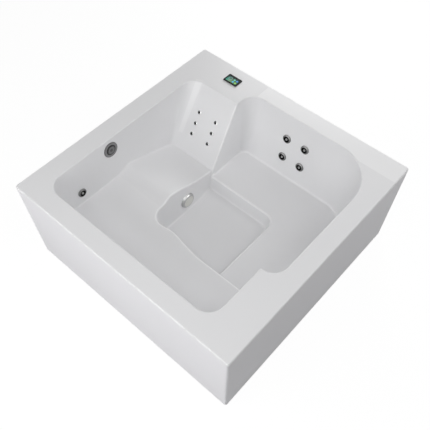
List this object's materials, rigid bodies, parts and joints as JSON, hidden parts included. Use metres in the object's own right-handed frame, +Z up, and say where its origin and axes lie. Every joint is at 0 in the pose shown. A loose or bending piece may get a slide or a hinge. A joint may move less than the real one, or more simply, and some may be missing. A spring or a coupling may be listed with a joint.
{
  "type": "hot tub",
  "caption": "Square acrylic hot tub with a lounger, L shaped bench, footwell, adjustable jets and touch panel, on a steel frame behind a flat skirt.",
  "frame": {"origin": "on the floor under the middle of the square tub", "axes": "+X to the right along the front, +Y to the back, +Z up"},
  "size_m": [1.8, 1.8, 0.748],
  "materials": {
    "acrylic": "gloss",
    "skirt": "gloss",
    "galvanised": "galvanised",
    "plated": "polished",
    "grey_plastic": "satin",
    "dark_plastic": "satin",
    "white_pvc": "satin",
    "rubber_grey": "matt",
    "board": "sanded",
    "screen_glass": "gloss",
    "motor_paint": "satin",
    "steel": "turned",
    "lever_red": "satin"
  },
  "bodies": {
    "tub": {"tub_shell": "acrylic", "front_panel": "skirt", "back_panel": "skirt", "left_panel": "skirt", "right_panel": "skirt", "floor_board": "board", "equipment_board": "board", "bottom_rails": "galvanised", "top_rails": "galvanised", "uprights": "galvanised", "floor_bearers": "galvanised", "foot_pads": "rubber_grey", "foot_studs": "steel", "foot_nuts": "steel", "panel_clips": "galvanised", "hydro_jet_gaskets": "rubber_grey", "hydro_jet_nuts": "white_pvc", "hydro_jet_1_body": "white_pvc", "hydro_jet_2_body": "white_pvc", "hydro_jet_3_body": "white_pvc", "hydro_jet_4_body": "white_pvc", "hydro_jet_5_body": "white_pvc", "backrest_jets": "plated", "backrest_jet_nuts": "white_pvc", "backrest_manifold": "white_pvc", "overflow_rosette": "grey_plastic", "overflow_body": "white_pvc", "overflow_nut": "white_pvc", "suction_cover": "plated", "suction_body": "white_pvc", "suction_nut": "white_pvc", "touch_panel_bezel": "dark_plastic", "touch_panel_glass": "screen_glass", "touch_panel_housing": "dark_plastic", "pump_base": "dark_plastic", "pump_volute": "dark_plastic", "pump_motor": "motor_paint", "pump_fan_cover": "dark_plastic", "blower_housing": "dark_plastic", "heater": "steel", "control_box": "grey_plastic", "control_box_lid": "grey_plastic", "cable_gland": "dark_plastic", "water_pipes": "white_pvc", "air_pipes": "white_pvc", "drain_valve": "white_pvc"},
    "jet_1_bezel": {"hydro_jet_1_bezel": "plated"},
    "jet_2_bezel": {"hydro_jet_2_bezel": "plated"},
    "jet_3_bezel": {"hydro_jet_3_bezel": "plated"},
    "jet_4_bezel": {"hydro_jet_4_bezel": "plated"},
    "jet_5_bezel": {"hydro_jet_5_bezel": "plated"},
    "jet_1_nozzle": {"hydro_jet_1_nozzle": "dark_plastic"},
    "jet_2_nozzle": {"hydro_jet_2_nozzle": "dark_plastic"},
    "jet_3_nozzle": {"hydro_jet_3_nozzle": "dark_plastic"},
    "jet_4_nozzle": {"hydro_jet_4_nozzle": "dark_plastic"},
    "jet_5_nozzle": {"hydro_jet_5_nozzle": "dark_plastic"},
    "pump_rotor": {"pump_impeller": "dark_plastic", "pump_shaft": "steel"},
    "blower_rotor": {"blower_impeller": "dark_plastic"},
    "drain_lever": {"drain_lever": "lever_red"}
  },
  "joints": [
    {"name": "jet_1_bezel_turn", "type": "hinge", "parent": "tub", "child": "jet_1_bezel", "pos_m": [-0.73847, -0.549, 0.478], "axis": [0.999, 0, 0.044], "range_deg": [0, 90]},
    {"name": "jet_1_nozzle_tilt", "type": "hinge", "parent": "jet_1_bezel", "child": "jet_1_nozzle", "pos_m": [-0.74147, -0.549, 0.47787], "axis": [0, 1, 0], "range_deg": [-12, 12]},
    {"name": "jet_2_bezel_turn", "type": "hinge", "parent": "tub", "child": "jet_2_bezel", "pos_m": [0.051, 0.73396, 0.553], "axis": [0, -0.9865, 0.1638], "range_deg": [0, 90]},
    {"name": "jet_2_nozzle_tilt", "type": "hinge", "parent": "jet_2_bezel", "child": "jet_2_nozzle", "pos_m": [0.051, 0.73692, 0.55251], "axis": [1, 0, 0], "range_deg": [-12, 12]},
    {"name": "jet_3_bezel_turn", "type": "hinge", "parent": "tub", "child": "jet_3_bezel", "pos_m": [0.211, 0.73396, 0.553], "axis": [0, -0.9865, 0.1638], "range_deg": [0, 90]},
    {"name": "jet_3_nozzle_tilt", "type": "hinge", "parent": "jet_3_bezel", "child": "jet_3_nozzle", "pos_m": [0.211, 0.73692, 0.55251], "axis": [1, 0, 0], "range_deg": [-12, 12]},
    {"name": "jet_4_bezel_turn", "type": "hinge", "parent": "tub", "child": "jet_4_bezel", "pos_m": [0.051, 0.7074, 0.393], "axis": [0, -0.9865, 0.1638], "range_deg": [0, 90]},
    {"name": "jet_4_nozzle_tilt", "type": "hinge", "parent": "jet_4_bezel", "child": "jet_4_nozzle", "pos_m": [0.051, 0.71036, 0.39251], "axis": [1, 0, 0], "range_deg": [-12, 12]},
    {"name": "jet_5_bezel_turn", "type": "hinge", "parent": "tub", "child": "jet_5_bezel", "pos_m": [0.211, 0.7074, 0.393], "axis": [0, -0.9865, 0.1638], "range_deg": [0, 90]},
    {"name": "jet_5_nozzle_tilt", "type": "hinge", "parent": "jet_5_bezel", "child": "jet_5_nozzle", "pos_m": [0.211, 0.71036, 0.39251], "axis": [1, 0, 0], "range_deg": [-12, 12]},
    {"name": "pump_rotor_spin", "type": "hinge", "parent": "tub", "child": "pump_rotor", "pos_m": [-0.18, -0.6, 0.228], "axis": [1, 0, 0], "continuous": true},
    {"name": "blower_rotor_spin", "type": "hinge", "parent": "tub", "child": "blower_rotor", "pos_m": [0.774, -0.64, 0.152], "axis": [0, 0, 1], "continuous": true},
    {"name": "drain_lever_turn", "type": "hinge", "parent": "tub", "child": "drain_lever", "pos_m": [-0.804, -0.65, 0.187], "axis": [0, 0, 1], "range_deg": [0, 90]}
  ]
}
